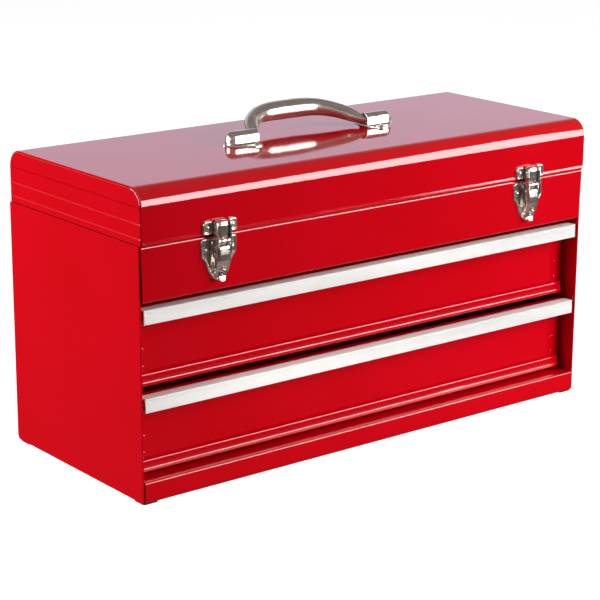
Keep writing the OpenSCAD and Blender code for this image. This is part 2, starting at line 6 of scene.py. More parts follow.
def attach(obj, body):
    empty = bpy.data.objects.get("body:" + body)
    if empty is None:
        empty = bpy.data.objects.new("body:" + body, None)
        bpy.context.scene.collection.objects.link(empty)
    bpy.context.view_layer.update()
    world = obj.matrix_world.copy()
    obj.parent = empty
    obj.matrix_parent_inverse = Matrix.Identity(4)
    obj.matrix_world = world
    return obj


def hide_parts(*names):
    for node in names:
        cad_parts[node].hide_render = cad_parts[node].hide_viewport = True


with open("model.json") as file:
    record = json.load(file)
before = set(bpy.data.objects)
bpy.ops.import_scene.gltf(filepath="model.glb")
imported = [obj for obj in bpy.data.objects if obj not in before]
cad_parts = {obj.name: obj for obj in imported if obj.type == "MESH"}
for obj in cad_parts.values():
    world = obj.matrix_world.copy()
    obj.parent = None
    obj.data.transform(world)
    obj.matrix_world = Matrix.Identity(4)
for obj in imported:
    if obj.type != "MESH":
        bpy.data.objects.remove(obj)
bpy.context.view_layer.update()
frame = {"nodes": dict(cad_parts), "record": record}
NODES = frame["nodes"]
MM = 0.001

# ---------------------------------------------------------------- sizes, in millimetres, in the frame
HW, HX = 254.0, 253.1
YF, YR, YC = -98.5, 106.9, 105.9
FY, YL = -100.4, -102.0
Z0, SEAM, RIM, LID = 1.5, 223.9, 223.3, 271.1
DY = -81.0
UP, LO = 168.9, 92.9
BAR_Y, BAR_Z = -0.3, 277.3
LATCH_X = (-176.2, 180.2)
T = 0.9

# ---------------------------------------------------------------- shape helpers
def unit(a):
    l = hypot(a[0], a[1])
    return (a[0] / l, a[1] / l)


def fillet(a, b, c, r, n):
    u = unit((a[0] - b[0], a[1] - b[1]))
    v = unit((c[0] - b[0], c[1] - b[1]))
    half = acos(max(-1.0, min(1.0, u[0] * v[0] + u[1] * v[1]))) / 2
    t = r / tan(half)
    w = unit((u[0] + v[0], u[1] + v[1]))
    o = (b[0] + w[0] * r / sin(half), b[1] + w[1] * r / sin(half))
    p = (b[0] + u[0] * t, b[1] + u[1] * t)
    q = (b[0] + v[0] * t, b[1] + v[1] * t)
    a0, a1 = atan2(p[1] - o[1], p[0] - o[0]), atan2(q[1] - o[1], q[0] - o[0])
    d = (a1 - a0 + pi) % (2 * pi) - pi
    k = max(2, int(ceil(n * abs(d) / (pi / 2))))
    return [(o[0] + r * cos(a0 + d * i / k), o[1] + r * sin(a0 + d * i / k)) for i in range(k + 1)]


def rounded(P, R, n=8):
    """open path with rounded corners"""
    out = []
    for i, p in enumerate(P):
        if i in (0, len(P) - 1) or R[i] == 0:
            out.append(tuple(p))
        else:
            out += fillet(P[i - 1], p, P[i + 1], R[i], n)
    # a point close to each end of a long straight run keeps the flats flat in the gloss
    held = [out[0]]
    for a, b in zip(out, out[1:]):
        l = hypot(b[0] - a[0], b[1] - a[1])
        if l > 5.0:
            for k in (0.7 / l, 1 - 0.7 / l):
                held.append((a[0] + (b[0] - a[0]) * k, a[1] + (b[1] - a[1]) * k))
        held.append(b)
    return held


def rounded_loop(P, R, n=8):
    """closed path with rounded corners; R is one radius or a list"""
    if not hasattr(R, "__len__"):
        R = [R] * len(P)
    out = []
    for i, p in enumerate(P):
        if R[i] == 0:
            out.append(tuple(p))
        else:
            out += fillet(P[i - 1], p, P[(i + 1) % len(P)], R[i], n)
    return out


def left(a, b):
    d = unit((b[0] - a[0], b[1] - a[1]))
    return (-d[1], d[0])


def offset(path, t, closed=False):
    """path moved t to its left"""
    n = len(path)
    out = []
    for i, p in enumerate(path):
        if closed or 0 < i < n - 1:
            a, b = left(path[i - 1], p), left(p, path[(i + 1) % n])
            m = unit((a[0] + b[0], a[1] + b[1]))
            k = t / max(0.25, m[0] * a[0] + m[1] * a[1])
        else:
            m = left(path[0], path[1]) if i == 0 else left(path[-2], path[-1])
            k = t
        out.append((p[0] + m[0] * k, p[1] + m[1] * k))
    return out


def area(P):
    return sum(P[i - 1][0] * P[i][1] - P[i][0] * P[i - 1][1] for i in range(len(P))) / 2


def inset(P, k):
    return offset(P, k if area(P) > 0 else -k, True)


def ladder(rings, closed_ring=True):
    """faces between rings of equal length"""
    n = len(rings[0])
    f = []
    for a, b in zip(rings, rings[1:]):
        for i in range(n if closed_ring else n - 1):
            j = (i + 1) % n
            f.append((a[i], a[j], b[j], b[i]))
    return f


class Shape:
    """vertices in millimetres and faces, added to piece by piece"""

    def __init__(self):
        self.v, self.f = [], []

    def ring(self, pts):
        k = len(self.v)
        self.v += [tuple(p) for p in pts]
        return list(range(k, k + len(pts)))

    def add(self, other):
        k = len(self.v)
        self.v += other.v
        self.f += [tuple(i + k for i in f) for f in other.f]
        return self

    def moved(self, fn):
        s = Shape()
        s.v = [tuple(fn(*p)) for p in self.v]
        s.f = list(self.f)
        return s


def bent(P, R, t, x0, x1, n=8, edge=0.22, stations=(), mod=None, axis="x"):
    """bent sheet: the path is one face, in (y, z), and the sheet's other face is t to its left"""
    s = Shape()
    path = rounded(P, R, n)
    sg = 1 if t > 0 else -1
    xs = [(x0, edge), (x0 + edge, 0)] + [(x, 0) for x in stations] + [(x1 - edge, 0), (x1, edge)]
    rings = []
    for x, e in xs:
        a = offset(path, sg * e) if e else path
        b = offset(path, t - sg * e)
        loop = [(x, p[0], p[1]) for p in a] + [(x, p[0], p[1]) for p in reversed(b)]
        if mod:
            loop = [mod(*p) for p in loop]
        rings.append(s.ring(loop))
    s.f += ladder(rings)
    m = len(path)
    for r in (rings[0], rings[-1]):
        for i in range(m - 1):
            s.f.append((r[i], r[i + 1], r[2 * m - 2 - i], r[2 * m - 1 - i]))
    if axis == "z":
        s = s.moved(lambda x, y, z: (y, z, x))
    return s


def prism(poly, x0, x1, edge=0.2, steps=2, axis="x"):
    """closed outline in (y, z) drawn out along x, its end edges rounded"""
    s = Shape()
    xs = [(x0 + edge * (1 - cos(i / steps * pi / 2)), edge * (1 - sin(i / steps * pi / 2))) for i in range(steps + 1)]
    xs += [(x1 + x0 - x, e) for x, e in reversed(xs)]
    rings = []
    for x, e in xs:
        q = inset(poly, e) if e > 1e-6 else poly
        rings.append(s.ring([(x, p[0], p[1]) for p in q]))
    s.f += ladder(rings)
    s.f.append(tuple(reversed(rings[0])))
    s.f.append(tuple(rings[-1]))
    if axis == "y":       # outline was (x, z), drawn out along y
        s = s.moved(lambda x, y, z: (y, x, z))
    if axis == "z":       # outline was (x, y), drawn out along z
        s = s.moved(lambda x, y, z: (y, z, x))
    return s


def plate(outline, levels, cap=True):
    """rings of an (x, z) outline: levels are (inset, y) from the back to the front"""
    s = Shape()
    rings = [s.ring([(p[0], y, p[1]) for p in (inset(outline, k) if abs(k) > 1e-6 else outline)]) for k, y in levels]
    s.f += ladder(rings)
    s.f.append(tuple(reversed(rings[0])))
    if cap:
        s.f.append(tuple(rings[-1]))
    return s


def lathe(profile, n=32):
    """(radius, height) points turned about z"""
    s = Shape()
    rings = []
    for r, h in profile:
        if r < 1e-6:
            rings.append(s.ring([(0, 0, h)]) * n)
        else:
            rings.append(s.ring([(r * cos(2 * pi * i / n), r * sin(2 * pi * i / n), h) for i in range(n)]))
    for a, b in zip(rings, rings[1:]):
        for i in range(n):
            j = (i + 1) % n
            q = [a[i], a[j], b[j], b[i]]
            f = [k for m, k in enumerate(q) if k not in q[:m]]
            if len(f) > 2:
                s.f.append(tuple(f))
    for r in (rings[0], rings[-1]):
        if len(set(r)) > 1:
            s.f.append(tuple(r))
    return s


def tube(points, radii, n=28, squash=None):
    """round bar along a line of points; radii per point, or (across, along up) pairs"""
    s = Shape()
    P = [Vector(p) for p in points]
    up = Vector((0, 0, 1))
    tan0 = (P[1] - P[0]).normalized()
    u = (up - tan0 * up.dot(tan0))
    if u.length < 1e-3:
        u = Vector((0, 1, 0))
    u.normalize()
    rings = []
    for i, p in enumerate(P):
        t = (P[min(i + 1, len(P) - 1)] - P[max(i - 1, 0)]).normalized()
        u = (u - t * u.dot(t)).normalized()
        w = t.cross(u)
        r = radii[i]
        a, b = r if hasattr(r, "__len__") else (r, r)
        rings.append(s.ring([tuple(p + u * (b * cos(2 * pi * k / n)) + w * (a * sin(2 * pi * k / n))) for k in range(n)]))
    s.f += ladder(rings)
    s.f.append(tuple(reversed(rings[0])))
    s.f.append(tuple(rings[-1]))
    return s


def dome(r, h, foot=0.0, n=32, k=6):
    """low ball cap on a short cylinder, along +z from z = 0"""
    s = (r * r + h * h) / (2 * h)
    a = acos((s - h) / s)
    prof = [(0, -0.3), (r, -0.3), (r, foot)] + [(s * sin(a * (1 - i / k)), foot + s * cos(a * (1 - i / k)) - (s - h)) for i in range(1, k + 1)]
    prof[-1] = (0, foot + h)
    return lathe(prof, n)


def catmull(P, m=8):
    out = []
    for i in range(len(P) - 1):
        p0, p1, p2, p3 = P[max(i - 1, 0)], P[i], P[i + 1], P[min(i + 2, len(P) - 1)]
        for k in range(m):
            t = k / m
            out.append(tuple(0.5 * (2 * b + (c - a) * t + (2 * a - 5 * b + 4 * c - d) * t * t + (3 * b - a - 3 * c + d) * t ** 3)
                             for a, b, c, d in zip(p0, p1, p2, p3)))
    out.append(tuple(P[-1]))
    return out


def piece(name, shape, body, material, stands_for=(), sharp=32, bevel=0.0, seg=2, weld=0.002, subdiv=0):
    me = bpy.data.meshes.new(name)
    me.from_pydata([(x * MM, y * MM, z * MM) for x, y, z in shape.v], [], shape.f)
    bm = bmesh.new()
    bm.from_mesh(me)
    bmesh.ops.remove_doubles(bm, verts=bm.verts, dist=weld * MM)
    bmesh.ops.dissolve_degenerate(bm, dist=1e-7, edges=bm.edges)
    bmesh.ops.recalc_face_normals(bm, faces=bm.faces)
    bm.to_mesh(me)
    bm.free()
    me.validate()
    me.polygons.foreach_set("use_smooth", [True] * len(me.polygons))
    me.set_sharp_from_angle(angle=radians(sharp))
    me.update()
    o = bpy.data.objects.new(name, me)
    bpy.context.scene.collection.objects.link(o)
    me.materials.append(material)
    if bevel:
        b = o.modifiers.new("edges", "BEVEL")
        b.width, b.segments, b.limit_method, b.angle_limit = bevel * MM, seg, "ANGLE", radians(40)
        b.harden_normals = True
    if subdiv:
        d = o.modifiers.new("smooth", "SUBSURF")
        d.levels = d.render_levels = subdiv
    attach(o, body)
    if stands_for:
        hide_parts(*stands_for)
    return o


# ---------------------------------------------------------------- materials
def new_material(name):
    m = bpy.data.materials.new(name)
    m.use_nodes = True
    nt = m.node_tree
    b = nt.nodes["Principled BSDF"]
    return m, nt, b


def noise(nt, scale, detail=2.0, rough=0.5, stretch=None, kind="ShaderNodeTexNoise"):
    co = nt.nodes.new("ShaderNodeTexCoord")
    src = co.outputs["Object"]
    if stretch:
        mp = nt.nodes.new("ShaderNodeMapping")
        mp.inputs["Scale"].default_value = stretch
        nt.links.new(src, mp.inputs["Vector"])
        src = mp.outputs["Vector"]
    n = nt.nodes.new(kind)
    n.inputs["Scale"].default_value = scale
    if "Detail" in n.inputs:
        n.inputs["Detail"].default_value = detail
    if "Roughness" in n.inputs:
        n.inputs["Roughness"].default_value = rough
    nt.links.new(src, n.inputs["Vector"])
    return n


def ramp(nt, src, stops, colour=False):
    r = nt.nodes.new("ShaderNodeValToRGB")
    el = r.color_ramp.elements
    while len(el) < len(stops):
        el.new(0.5)
    for e, (p, c) in zip(el, stops):
        e.position = p
        e.color = (*c, 1) if hasattr(c, "__len__") else (c, c, c, 1)
    nt.links.new(src, r.inputs["Fac"])
    return r.outputs["Color"]


def bump(nt, b, layers):
    """layers: (height socket, strength, distance in metres)"""
    prev = None
    for h, strength, dist in layers:
        k = nt.nodes.new("ShaderNodeBump")
        k.inputs["Strength"].default_value = strength
        k.inputs["Distance"].default_value = dist
        nt.links.new(h, k.inputs["Height"])
        if prev:
            nt.links.new(prev, k.inputs["Normal"])
        prev = k.outputs["Normal"]
    nt.links.new(prev, b.inputs["Normal"])


def enamel(inside=False):
    m, nt, b = new_material("red_enamel_inside" if inside else "red_enamel")
    big = noise(nt, 9.0, 2.0, 0.5)
    fleck = noise(nt, 900.0, 2.0, 0.6)
    base = ramp(nt, big.outputs["Fac"], [(0.3, (0.490, 0.0, 0.004)), (0.7, (0.525, 0.0, 0.007))])
    dust = ramp(nt, fleck.outputs["Fac"], [(0.70, 0.0), (0.80, 1.0)])
    mix = nt.nodes.new("ShaderNodeMix")
    mix.data_type = "RGBA"
    mix.inputs[7].default_value = (0.70, 0.08, 0.09, 1)
    fac = nt.nodes.new("ShaderNodeMath")
    fac.operation = "MULTIPLY"
    fac.inputs[1].default_value = 0.18
    nt.links.new(dust, fac.inputs[0])
    nt.links.new(fac.outputs[0], mix.inputs[0])
    nt.links.new(base, mix.inputs[6])
    nt.links.new(mix.outputs[2], b.inputs["Base Color"])
    smear = noise(nt, 22.0, 4.0, 0.6)
    nt.links.new(ramp(nt, smear.outputs["Fac"], [(0.35, 0.45), (0.75, 0.55)] if inside else [(0.35, 0.035), (0.75, 0.085)]), b.inputs["Roughness"])
    b.inputs["IOR"].default_value = 1.6
    if inside:
        b.inputs["Specular IOR Level"].default_value = 0.1
    peel = noise(nt, 420.0, 2.0, 0.5)
    wave = noise(nt, 7.0, 1.0, 0.4)
    bump(nt, b, [(wave.outputs["Fac"], 0.35, 0.0012), (peel.outputs["Fac"], 0.05, 0.0002)])
    return m


def nickel():
    m, nt, b = new_material("bright_nickel")
    b.inputs["Metallic"].default_value = 0.94
    n = noise(nt, 60.0, 3.0, 0.6)
    nt.links.new(ramp(nt, n.outputs["Fac"], [(0.3, (0.62, 0.57, 0.52)), (0.7, (0.73, 0.68, 0.63))]), b.inputs["Base Color"])
    s = noise(nt, 240.0, 3.0, 0.6)
    nt.links.new(ramp(nt, s.outputs["Fac"], [(0.3, 0.15), (0.75, 0.25)]), b.inputs["Roughness"])
    pit = noise(nt, 700.0, 2.0, 0.6)
    dent = noise(nt, 170.0, 2.0, 0.5)
    bump(nt, b, [(dent.outputs["Fac"], 0.22, 0.0007), (pit.outputs["Fac"], 0.12, 0.0002)])
    return m


def aluminium():
    m, nt, b = new_material("pull_aluminium")
    b.inputs["Metallic"].default_value = 0.0
    b.inputs["Specular IOR Level"].default_value = 0.08
    n = noise(nt, 30.0, 2.0, 0.5, stretch=(0.15, 1, 1))
    # painted shade: the base colour runs from near white at the left end (-x) to grey at the right end (+x), evening
    # out the stronger light the pulls get at the right; the noise adds random tone on top
    co = nt.nodes.new("ShaderNodeTexCoord")
    sx = nt.nodes.new("ShaderNodeSeparateXYZ")
    nt.links.new(co.outputs["Object"], sx.inputs[0])
    along = nt.nodes.new("ShaderNodeMath")
    along.operation = "MULTIPLY_ADD"
    along.inputs[1].default_value = 2.0
    nt.links.new(sx.outputs["X"], along.inputs[0])
    nt.links.new(n.outputs["Fac"], along.inputs[2])
    nt.links.new(ramp(nt, along.outputs[0], [(0.0, (0.97, 0.95, 0.925)), (1.0, (0.57, 0.563, 0.552))]), b.inputs["Base Color"])
    s = noise(nt, 160.0, 3.0, 0.6, stretch=(0.05, 1, 1))
    nt.links.new(ramp(nt, s.outputs["Fac"], [(0.3, 0.42), (0.7, 0.52)]), b.inputs["Roughness"])
    d = noise(nt, 1500.0, 2.0, 0.5, stretch=(0.02, 1, 1))
    bump(nt, b, [(d.outputs["Fac"], 0.15, 0.0001)])
    return m


def rubber():
    m, nt, b = new_material("black_rubber")
    n = noise(nt, 120.0, 3.0, 0.6)
    nt.links.new(ramp(nt, n.outputs["Fac"], [(0.3, (0.012, 0.012, 0.013)), (0.7, (0.028, 0.028, 0.030))]), b.inputs["Base Color"])
    nt.links.new(ramp(nt, n.outputs["Fac"], [(0.3, 0.62), (0.7, 0.8)]), b.inputs["Roughness"])
    b.inputs["Specular IOR Level"].default_value = 0.12
    g = noise(nt, 1800.0, 2.0, 0.6)
    bump(nt, b, [(g.outputs["Fac"], 0.3, 0.0002)])
    return m


RED, NICKEL, ALU, BLACK = enamel(), nickel(), aluminium(), rubber()
SLOT = {"red_paint": RED, "bright_nickel": NICKEL, "pull_aluminium": ALU, "black_rubber": BLACK}

# every CAD node that stays gets its finish and softly broken edges
slots = {s["node"]: s["material_slot"] for s in frame["record"]["subparts"]}
DULL = enamel(True)
for name, o in NODES.items():
    o.data.materials.clear()
    o.data.materials.append(DULL if "_tray" in name or "_runner_" in name or name in ("till_floor", "bottom_pan") else SLOT[slots[name]])
    b = o.modifiers.new("edges", "BEVEL")
    b.width, b.segments, b.limit_method, b.angle_limit = 0.25 * MM, 2, "ANGLE", radians(40)
    b.harden_normals = True

PAINT, NICK, PULL, RUB = "red_paint", "bright_nickel", "pull_aluminium", "black_rubber"

# ---------------------------------------------------------------- case
# side panels: flat sheet, its front edge folded back on itself, its rear lower corner rounded
for s, side in ((-1, "left"), (1, "right")):
    def panel_mod(x, y, z, s=s):
        # here x runs up the panel, y is across, z is along the depth
        r = 5.0
        up = x - Z0
        if up < r and z > 90:
            z = z - (r - sqrt(max(0.0, r * r - (r - up) ** 2))) * 1.0
        return (x, y, z)
    P = [(HX - 0.9, YF + 8.4), (HX - 0.9, YF), (HW, YF), (HW, YR), (HW - 6, YR)]
    P = [(s * a, b) for a, b in P]
    sh = bent(P, [0, 0.62, 0.62, 1.3, 0], s * 0.88, Z0, RIM, n=8, edge=0.2,
              stations=[Z0 + 0.5 + 0.5 * k for k in range(10)], mod=panel_mod)
    # (up, across, depth) -> (x, y, z)
    sh = sh.moved(lambda x, y, z: (y, z, x))
    piece(side + "_side_shell", sh, "case", RED, [side + "_side_panel"])

# fascia with its lower corners cut back
FB, FT = Z0 + 174.0, RIM - 0.1
def fascia_mod(x, y, z):
    k = max(0.0, min(1.0, (FB + 13 - z) / 13))
    return (x - (1 if x > 0 else -1) * 1.5 * k if abs(x) > 245 else x, y, z)
piece("fascia_shell", bent([(FY + 13, FB), (FY, FB), (FY, FT), (FY + 12, FT)], [0, 1.5, 1.9, 0], -T, -252.7, 252.7, n=14,
      stations=[-244, -120, 0, 120, 244], mod=fascia_mod), "case", RED, ["front_fascia"])

# base rail
piece("base_rail_shell", bent([(YF + 9.9, Z0), (YF - 0.95, Z0), (YF - 0.95, Z0 + 18.4), (YF + 22, Z0 + 18.4), (YF + 22, Z0 + 11)],
      [0, 1.2, 1.6, 1.3, 0], -T, -251.6, 251.6, n=14, stations=[-120, 0, 120]), "case", RED, ["base_rail"])

# ---------------------------------------------------------------- lid
piece("lid_wrap_shell", bent([(YL + 9, SEAM), (YL - 0.36, SEAM), (YL, SEAM + 3.4), (YL, LID), (30.0, LID), (YC, LID), (YC, SEAM), (YC - 9, SEAM)],
      [0, 1.3, 2.4, 15.5, 0, 15.5, 1.4, 0], -T, -252.5, 252.5, n=28, edge=0.25, stations=[-240, -120, 0, 120, 240]), "lid", RED, ["lid_wrap"])


def end_out(level):
    """how far the pressed end stands out at a level above the seam"""
    for low, mid, top in ((17.2, 17.6, 18.2), (5.0, 5.4, 6.0)):
        if low < level <= mid:
            return 0.3 * (level - low) / (mid - low)
        if mid < level < top:
            return 0.3 * (top - level) / (top - mid)
    return 0.0


for s, side in ((-1, "left"), (1, "right")):
    sh = Shape()
    k0, xf, re = 0.98, HW - 0.46, 1.1
    levels = [0, 1.2, 3, 4.7, 4.95, 5.0, 5.25, 5.4, 5.6, 6.0, 6.05, 6.4, 10, 16.8, 17.15, 17.2, 17.45, 17.6, 17.8, 18.2, 18.25, 18.7, 22, 28, 32]
    r0, m = 15.5, 20

    def outline(k):
        a = [(YL + k, SEAM + l) for l in levels]
        a += [(YL + r0 + (r0 - k) * cos(radians(180 - 90 * i / m)), LID - r0 + (r0 - k) * sin(radians(180 - 90 * i / m))) for i in range(m + 1)]
        b = [(YC - k, SEAM + l) for l in levels]
        b += [(YC - r0 + (r0 - k) * cos(radians(90 * i / m)), LID - r0 + (r0 - k) * sin(radians(90 * i / m))) for i in range(m + 1)]
        return a + list(reversed(b))

    n1 = len(levels) + m + 1
    rings = []
    def lay(x, k, ins=False):
        pts = outline(k)
        return sh.ring([(s * (x + (end_out(z - SEAM) if ins else 0)), y, z) for y, z in pts])
    rings.append(lay(HW - 11, k0 + T))
    rings.append(lay(HW - 11, k0))
    rings.append(lay(xf - re, k0))
    for i in range(1, 7):
        a = i / 6 * pi / 2
        rings.append(lay(xf - re + re * sin(a), k0 + re * (1 - cos(a)), i > 3))
    rings.append(lay(xf, k0 + re + 0.5, True))
    front = rings[-1]
    back = [lay(xf - T, k0 + T + 0.4), ]
    sh.f += ladder(rings, False)
    sh.f += ladder([rings[0], back[0]], False)
    for face in (front, back[0]):
        for i in range(n1 - 1):
            sh.f.append((face[i], face[i + 1], face[2 * n1 - 2 - i], face[2 * n1 - 1 - i]))
    # lower edges
    for i in (0, 2 * n1 - 1):
        sh.f.append(tuple(r[i] for r in rings) + (back[0][i],))
    sh.f.append((front[0], front[-1], back[0][-1], back[0][0]))
    piece(side + "_lid_end_shell", sh, "lid", RED, ["lid_end_" + side], sharp=28)

# ---------------------------------------------------------------- drawers
def drawer(top, which):
    body = which + "_drawer"
    P = [(YF + 2.2, top - 1.45), (YF + 10.8, top - 1.45), (YF + 12.0, top), (DY + T, top),
         (DY + T, top - 58.4), (DY - 3.2 + T, top - 60.4), (DY - 3.2 + T, top - 64.8), (DY - 3.95, top - 66.8),
         (DY - 3.9, top - 69.0), (DY - 1.3, top - 71 + T), (DY + 6, top - 71 + T)]
    R = [0, 0.4, 0.8, 1.7, 0.3, 0.4, 0.3, 1.2, 1.0, 1.2, 0]
    L = 249.5

    def nose(x, y, z):
        # the nose is drawn in at both ends
        e = (abs(x) - (L - 6.5)) / 6.5
        if e > 0 and z < top - 57 and y < DY:
            y = DY + (y - DY) * sqrt(max(0.0, 1 - min(1.0, e) ** 2.2))
        return (x, y, z)
    st = [L - 6.5 + 6.5 * k / 10 for k in range(1, 10)]
    st = [-x for x in reversed([L - 6.5] + st)] + [-120, 0, 120] + [L - 6.5] + st
    piece(which + "_drawer_shell", bent(P, R, -T, -L, L, n=12, edge=0.2, stations=st, mod=nose), body, RED, [which + "_drawer_front"])

    # ribbed pull
    h = 12.6
    face = []
    face += [(YF + 10.5, top), (YF + 1.0, top)]
    for i in range(1, 7):                                   # bead along the top edge
        a = radians(90 + 150 * i / 7)
        face.append((YF + 0.95 + 0.95 * cos(a), top - 0.95 + 0.95 * sin(a)))
    face += [(YF + 0.95, top - 1.95), (YF + 0.95, top - 2.4)]
    n, pitch, z = 8, 1.12, top - 2.45
    for i in range(n):
        for k in range(7):
            a = pi * k / 6
            face.append((YF + 0.56 - 0.50 * sin(a) ** 0.8, z - pitch * (i + 0.12 + 0.76 * k / 6)))
    zb = z - pitch * n
    face += [(YF + 0.2, zb - 0.05), (YF + 0.08, top - h + 0.5), (YF + 0.5, top - h), (YF + 6, top - h), (YF + 6, top - h + 1.2),
             (YF + 1.5, top - h + 1.2), (YF + 1.5, top - 1.25), (YF + 10.5, top - 1.25)]
    piece(which + "_pull_shell", prism(face, -L, L, edge=0.25), body, ALU, [which + "_drawer_pull"], sharp=50)

    # blind rivets
    sh = Shape()
    for sx in (-1, 1):
        for zz in (39.5, 54.5):
            prof = [(0, -2.4), (1.15, -2.4), (1.15, -0.05), (2.1, -0.05), (2.05, 0.12), (1.7, 0.5), (1.15, 0.7), (0.72, 0.62), (0.62, 0.3), (0.6, -0.2), (0, -0.2)]
            sh.add(lathe(prof, 24).moved(lambda x, y, z, sx=sx, zz=zz: (sx * 240.7 + x, DY - z, top - zz + y)))
    piece(which + "_drawer_rivet_heads", sh, body, RED, [which + "_drawer_rivets"])


drawer(UP, "upper")
drawer(LO, "lower")

# ---------------------------------------------------------------- handle
tilt = radians(72.5)
cl = [(0, 38.2), (10, 38.2), (20, 37.6), (28, 36.4), (35.2, 34.0), (41.5, 30.4), (47.4, 25.6), (52.3, 20.0), (56.3, 14.0), (58.9, 9.0), (61.2, 4.6), (64.6, 1.2), (69, 0), (86, 0)]
rr = [8.94, 8.94, 8.7, 8.3, 7.9, 7.5, 7.1, 6.8, 6.4, 5.8, 4.8, 4.05, 4.0, 4.0]
cl3 = catmull([(a, b, r) for (a, b), r in zip(cl, rr)], 6)
half = [(u, v, r) for u, v, r in cl3]
full = [(-u, v, r) for u, v, r in reversed(half[1:])] + half
pts = [(u, BAR_Y + v * sin(tilt), BAR_Z + v * cos(tilt)) for u, v, r in full]
piece("bail_bar", tube(pts, [r for u, v, r in full], 40), "handle", NICKEL, ["handle_bail"], sharp=50)

for s, side in ((-1, "left"), (1, "right")):
    sh = Shape()
    # flange: pointed at its outer end, with two lobes for the rivets
    out = rounded_loop([(99.2, 0), (78.2, -19.9), (66.9, -20.1), (66.9, -10.6), (65.4, -8), (65.4, 8), (66.9, 10.6), (66.9, 20.1), (78.2, 19.9)],
                       [2.4, 6.5, 4.6, 1.2, 1.2, 1.2, 1.2, 4.6, 6.5], 8)
    zf = LID
    sh.add(plate(out, [(0.0, zf + 0.02), (0.0, zf + 0.55), (0.12, zf + 0.9), (0.35, zf + 1.12), (0.7, zf + 1.2)]).moved(lambda x, y, z: (x, z, y)))
    # tunnel: arch over the bail's end, domed at its outer end, open at the inner one
    def arch(x, r, w, grow=0.0):
        # half outline of the arch at x, from one foot over the top to the other
        a = [(-(w + 2.2 + grow), zf + 1.15), (-(w + 0.9 + grow), zf + 1.35), (-(w + 0.25), zf + 2.1), (-w, zf + 3.2)]
        b = [(r * cos(radians(180 - 180 * i / 20)), BAR_Z + r * sin(radians(180 - 180 * i / 20)) * 1.0) for i in range(21)]
        b = [(p[0] * w / r, p[1]) for p in b]
        return a + b + [(-p, q) for p, q in reversed(a)]
    R0 = 6.4
    rings = []
    for x in (63.2, 64, 70, 78, 87.6):
        rings.append(sh.ring([(x, p, q) for p, q in arch(x, R0, R0)]))
    for i in range(1, 11):
        a = radians(90 * i / 10.6)
        ring = []
        for p, q in arch(0, R0, R0):
            k = cos(a)
            hh = (q - (zf + 1.15))
            ring.append((87.6 + 7.0 * sin(a), p * k ** 0.8, zf + 1.15 + hh * (k ** 0.55)))
        rings.append(sh.ring(ring))
    sh.f += ladder(rings, False)
    # inner skin of the tunnel
    inner = []
    for x in (63.2, 88.5):
        a = [(-5.5, zf + 1.2)] * 4
        b = [(5.5 * cos(radians(180 - 180 * i / 20)), BAR_Z + 5.5 * sin(radians(180 - 180 * i / 20))) for i in range(21)]
        c = [(5.5, zf + 1.2)] * 4
        inner.append(sh.ring([(x, p, q) for p, q in a + b + c]))
    sh.f += ladder(inner, False)
    sh.f += ladder([rings[0], inner[0]], False)
    sh.f.append(tuple(inner[1]))
    sh = sh.moved(lambda x, y, z, s=s: (s * x, BAR_Y + y, z))
    piece(side + "_bracket_shell", sh, "lid", NICKEL, ["handle_bracket_" + side], sharp=45, weld=0.01)

sh = Shape()
for sx in (-1, 1):
    for sy in (-1, 1):
        sh.add(dome(3.1, 1.5, 0.15).moved(lambda x, y, z, sx=sx, sy=sy: (sx * 71.6 + x, BAR_Y + sy * 15.4 + y, LID + 1.2 + z)))
piece("handle_rivet_heads", sh, "lid", NICKEL, ["handle_rivets"])

# ---------------------------------------------------------------- latches
SD = 1.6     # lid's face in front of the fascia's face


def lat(cx):
    """(x, depth forwards, level) of a latch to the frame"""
    return lambda x, d, l: (cx + x, FY - d, Z0 + l)


def mirrored(P):
    return P + [(-a, b) for a, b in reversed(P)]


def tongue(path, R, t, halfw, slot, sw=1.75):
    """sheet along a line in (depth, level), its width given by level, with a slot in the middle; x runs across"""
    out = Shape()
    p = rounded(path, R, 8)
    # extra rows so that the slot and the tip are well formed
    q = [p[0]]
    for a, b in zip(p, p[1:]):
        m = max(1, int(ceil(hypot(b[0] - a[0], b[1] - a[1]) / 0.7)))
        q += [(a[0] + (b[0] - a[0]) * i / m, a[1] + (b[1] - a[1]) * i / m) for i in range(1, m + 1)]
    back = offset(q, t)
    rows = []
    for a, b in zip(q, back):
        w = halfw(a)
        xs = [-w, -0.93 * w, -(w + sw) / 2, -sw, sw, (w + sw) / 2, 0.93 * w, w]
        # long edges of the front face softly rounded
        ds = [0.5, 0.2, 0.06, 0, 0, 0.06, 0.2, 0.5]
        n = unit((b[0] - a[0], b[1] - a[1]))
        rows.append((out.ring([(x, a[0] + n[0] * e, a[1] + n[1] * e) for x, e in zip(xs, ds)]), out.ring([(x, b[0], b[1]) for x in xs]), a[1]))
    n = len(rows)
    hole = [slot[0] < (rows[i][2] + rows[i + 1][2]) / 2 < slot[1] for i in range(n - 1)]
    for i in range(n - 1):
        (f0, b0, _), (f1, b1, _) = rows[i], rows[i + 1]
        for j in range(7):
            if j == 3 and hole[i]:
                continue
            out.f.append((f0[j], f0[j + 1], f1[j + 1], f1[j]))
            out.f.append((b0[j + 1], b0[j], b1[j], b1[j + 1]))
        for j in (0, 7):
            out.f.append((f0[j], f1[j], b1[j], b0[j]))
        if hole[i]:
            for j in (3, 4):
                out.f.append((f0[j], f1[j], b1[j], b0[j]))
            for e in (i, i + 1):
                if (e == i and (i == 0 or not hole[i - 1])) or (e == i + 1 and (i == n - 2 or not hole[i + 1])):
                    f, b = rows[e][0], rows[e][1]
                    out.f.append((f[3], f[4], b[4], b[3]))
    for e in (0, n - 1):
        f, b = rows[e][0], rows[e][1]
        for j in range(7):
            out.f.append((f[j], f[j + 1], b[j + 1], b[j]))
    return out


